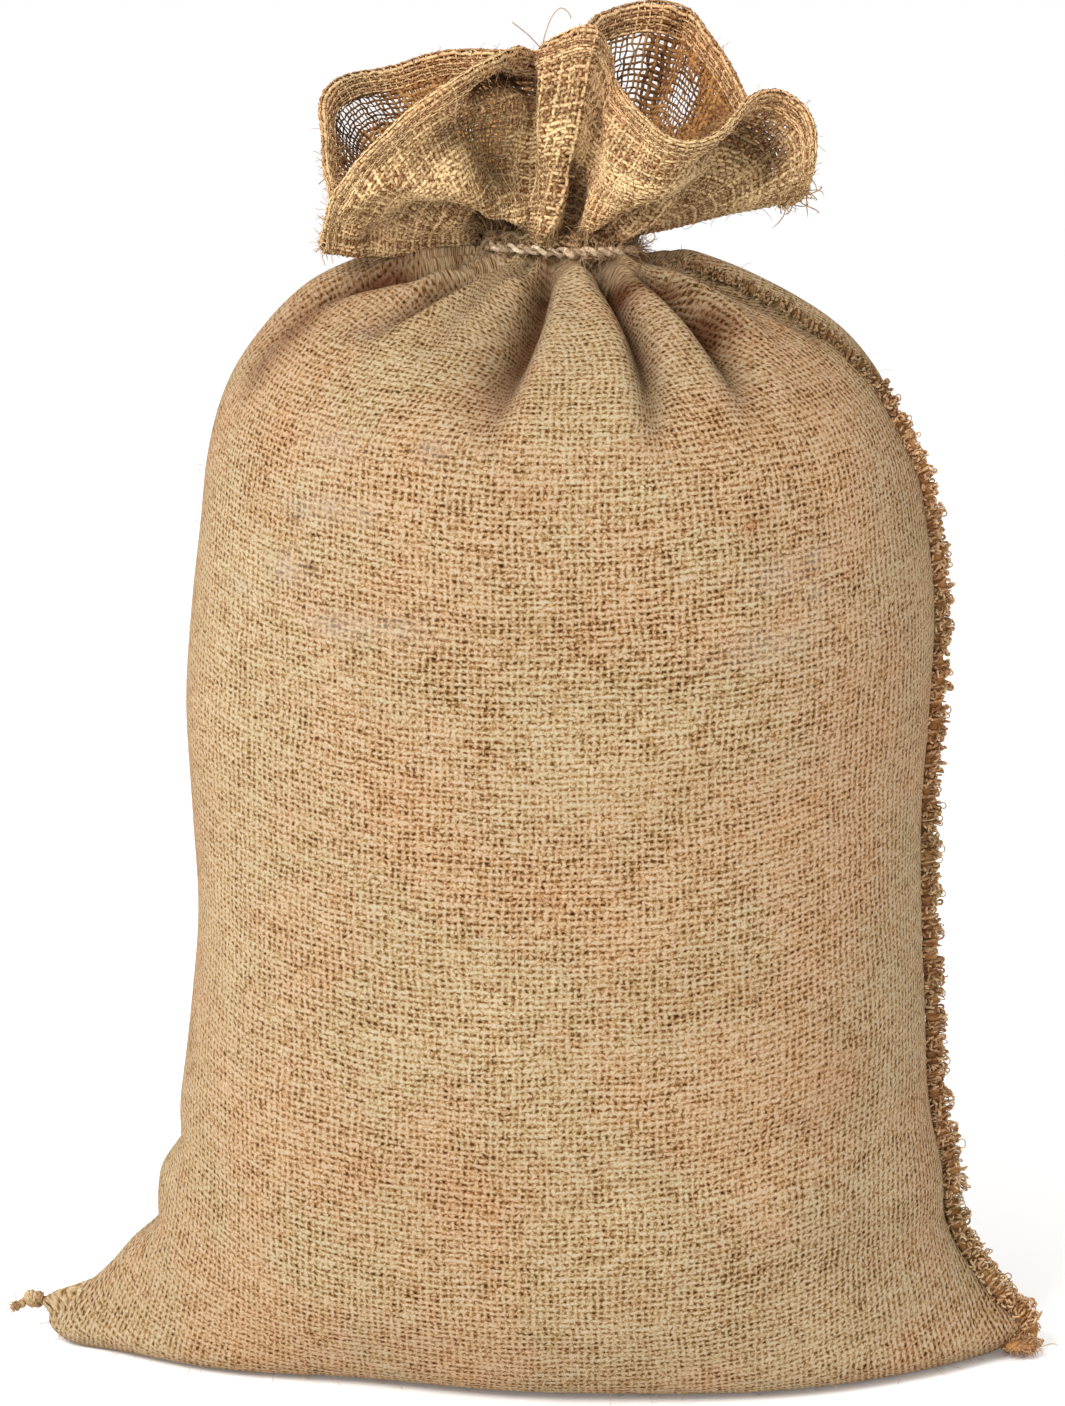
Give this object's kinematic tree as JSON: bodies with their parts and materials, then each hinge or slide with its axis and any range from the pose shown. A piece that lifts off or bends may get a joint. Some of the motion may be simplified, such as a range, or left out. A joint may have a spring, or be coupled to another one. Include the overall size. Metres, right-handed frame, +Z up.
{
  "type": "filled burlap sack tied at the neck",
  "caption": "Filled jute burlap sack standing upright, tied at the neck with twine, with an open ruffled mouth and a standing sewn edge down one side.",
  "frame": {"origin": "middle of the flat bottom, on the surface that the sack stands on", "axes": "+Z up through the tied neck; +X across the sack to its sewn side; -Y towards the front"},
  "size_m": [0.6467, 0.315, 0.8278],
  "materials": {
    "burlap": "open plain weave of uneven jute yarn, light golden tan with redder and darker patches, matt and hairy",
    "selvedge": "sewn edge of two cloth layers bound by diagonal jute stitches, with short loops",
    "twine": "two-ply twisted jute twine, darker brown, hairy",
    "sewing_thread": "knotted jute sewing thread"
  },
  "bodies": {
    "root": {"sack_cloth": "burlap", "side_seam": "selvedge", "neck_tie": "twine", "corner_tail": "sewing_thread"}
  },
  "joints": []
}
